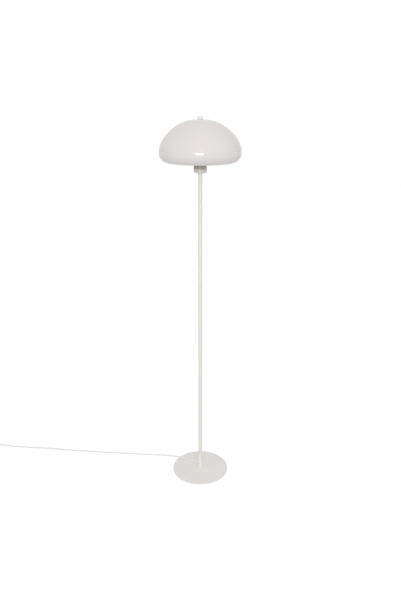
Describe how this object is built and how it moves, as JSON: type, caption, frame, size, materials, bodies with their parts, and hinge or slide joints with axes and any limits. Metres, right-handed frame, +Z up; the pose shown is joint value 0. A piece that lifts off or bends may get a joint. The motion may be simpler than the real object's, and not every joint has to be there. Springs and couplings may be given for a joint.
{
  "type": "floor lamp",
  "caption": "Slim floor lamp with a mushroom dome shade, a round disc foot, a jointed tube pole, a mains cord, a foot switch and a flat plug.",
  "frame": {"origin": "centre of the underside of the disc foot, on the floor", "axes": "+Z up along the pole; -Y is the side that faces the viewer in the picture; the cord leaves towards -X"},
  "size_m": [1.3625, 0.3616, 1.5],
  "materials": {
    "shade_opal": "opal white, soft gloss, smooth moulded surface",
    "lamp_paint": "warm off-white powder coat, satin",
    "dark_ring": "dark grey-brown moulded thermoplastic, matt",
    "holder_plastic": "white moulded thermoplastic, matt",
    "zinc_steel": "zinc plated steel",
    "brass_contact": "plain brass",
    "nickel_cap": "nickel plated screw cap",
    "black_glass": "dark vitreous insulator",
    "bulb_diffuser": "opal diffuser, satin",
    "bulb_housing": "white bulb housing",
    "silicone": "translucent white silicone",
    "foot_pad": "dark closed-cell foam",
    "cord_white": "light grey-white PVC sheath, matt",
    "switch_white": "white moulded plastic, fine texture",
    "button_white": "white moulded plastic, smooth",
    "sleeve_black": "black moulded insulation on the pins",
    "pin_brass": "nickel plated brass pins"
  },
  "bodies": {
    "lamp": {"base_plate": "lamp_paint", "base_pad": "foot_pad", "base_washer": "zinc_steel", "base_screw": "zinc_steel", "foot_insert": "zinc_steel", "pole_lower": "lamp_paint", "pole_middle": "lamp_paint", "pole_upper": "lamp_paint", "pole_couplers": "zinc_steel", "top_insert": "zinc_steel", "cord_relief": "cord_white", "inner_cord": "cord_white", "holder_nipple": "zinc_steel", "neck_collar": "lamp_paint", "holder_cup": "lamp_paint", "holder_base": "holder_plastic", "holder_core": "holder_plastic", "centre_contact": "brass_contact", "holder_sleeve": "holder_plastic", "screw_shell": "brass_contact", "ring_lower": "dark_ring", "shade_frame": "zinc_steel", "frame_stud": "zinc_steel", "frame_nut": "zinc_steel", "seat_washer": "zinc_steel", "soft_washer": "silicone", "switch_tray": "switch_white", "switch_cover": "switch_white", "switch_block": "holder_plastic", "switch_reliefs": "cord_white", "switch_screws": "zinc_steel", "cord_run": "cord_white", "cord_lead": "cord_white", "cord_coil": "cord_white", "cord_tail": "cord_white", "plug_relief": "cord_white", "plug_body": "cord_white", "plug_pins": "pin_brass", "pin_sleeves": "sleeve_black"},
    "shade": {"shade": "shade_opal", "top_washer": "silicone"},
    "finial": {"finial": "lamp_paint"},
    "bulb": {"bulb_tip": "nickel_cap", "bulb_insulator": "black_glass", "bulb_cap": "nickel_cap", "bulb_body": "bulb_housing", "bulb_globe": "bulb_diffuser"},
    "clamp_ring": {"ring_upper": "dark_ring"},
    "button": {"switch_button": "button_white"}
  },
  "joints": [
    {"name": "shade_lift", "type": "slide", "parent": "lamp", "child": "shade", "axis": [0, 0, 1], "range_m": [0, 0.17]},
    {"name": "finial_turn", "type": "hinge", "parent": "shade", "child": "finial", "pos_m": [0, 0, 1.495], "axis": [0, 0, 1], "range_deg": [0, 720]},
    {"name": "bulb_turn", "type": "hinge", "parent": "lamp", "child": "bulb", "pos_m": [0, 0, 1.34], "axis": [0, 0, 1], "range_deg": [0, 720]},
    {"name": "ring_turn", "type": "hinge", "parent": "lamp", "child": "clamp_ring", "pos_m": [0, 0, 1.333], "axis": [0, 0, 1], "range_deg": [0, 720]},
    {"name": "button_press", "type": "slide", "parent": "lamp", "child": "button", "axis": [0, 0, -1], "range_m": [0, 0.003], "stiffness_N_per_m": 1500, "springref_m": -0.0005}
  ]
}
